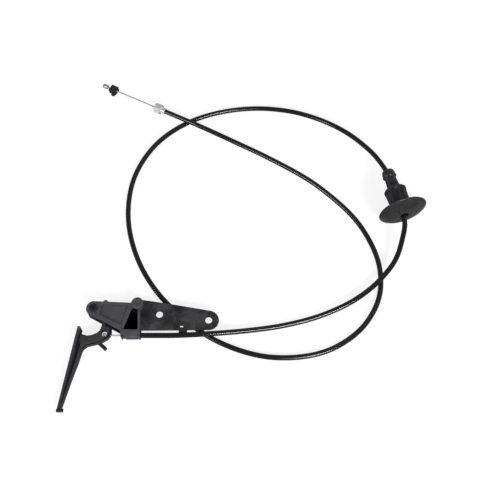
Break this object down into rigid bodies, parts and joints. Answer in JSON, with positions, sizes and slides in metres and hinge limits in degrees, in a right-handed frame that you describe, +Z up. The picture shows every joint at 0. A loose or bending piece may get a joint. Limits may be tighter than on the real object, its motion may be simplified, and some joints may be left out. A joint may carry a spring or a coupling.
{
  "type": "hood release cable",
  "caption": "Hood release cable: pull lever in a bracketed housing, sheathed cable in a loop with a firewall grommet, and a ferrule, clip and nipple at the latch end.",
  "frame": {"origin": "on the floor, under the middle of the lever assembly: lever, housing, bracket, pin, rivet and the lever end of the wire", "axes": "+X from the lever towards the bracket's outer end, +Y from the lever's grip towards its pivot, +Z up, square to the bracket's plate"},
  "size_m": [0.3414, 0.3625, 0.0476],
  "materials": {
    "housing": "moulded black-grey nylon, fine satin texture",
    "bracket": "black electro-coat on pressed steel, slightly uneven",
    "rivet": "black-coated steel, worn towards grey on the face",
    "pin": "black-coated steel",
    "retainer": "bright zinc-plated spring steel",
    "lever": "moulded black nylon, satin",
    "end_cap": "moulded black-grey nylon",
    "lever_nipple": "die-cast zinc, bright",
    "wire_lever_end": "stranded galvanised steel wire",
    "conduit": "black extruded sheath, finely ribbed by the wire coil under it",
    "grommet": "black moulded rubber, satin",
    "ferrule": "bright zinc-plated steel",
    "wire_latch_end": "stranded galvanised steel wire",
    "clip": "black moulded nylon",
    "latch_nipple": "die-cast zinc, dull at its edges"
  },
  "bodies": {
    "root": {"lever_housing": "housing", "mounting_bracket": "bracket", "housing_rivet": "rivet", "pivot_pin": "pin", "pin_retainer": "retainer", "conduit_end_cap": "end_cap", "conduit": "conduit", "firewall_grommet": "grommet", "latch_ferrule": "ferrule"},
    "lever": {"release_lever": "lever"},
    "lever_wire": {"inner_wire_lever_end": "wire_lever_end", "lever_nipple": "lever_nipple"},
    "latch_wire": {"inner_wire_latch_end": "wire_latch_end", "wire_clip": "clip", "latch_nipple": "latch_nipple"}
  },
  "joints": [
    {"name": "lever_pivot", "type": "hinge", "parent": "root", "child": "lever", "pos_m": [-0.0451, 0.0425, 0.008], "axis": [0, 0, -1], "range_deg": [0, 35]},
    {"name": "lever_wire_pull", "type": "slide", "parent": "root", "child": "lever_wire", "axis": [-1, 0, 0], "range_m": [0, 0.016]},
    {"name": "latch_wire_pull", "type": "slide", "parent": "root", "child": "latch_wire", "axis": [0.8792, -0.474, 0.049], "range_m": [0, 0.016]}
  ],
  "couplings": [
    {"joint": "lever_wire_pull", "follows": "lever_pivot", "m_per_rad": 0.0261},
    {"joint": "latch_wire_pull", "follows": "lever_pivot", "m_per_rad": 0.0261}
  ]
}
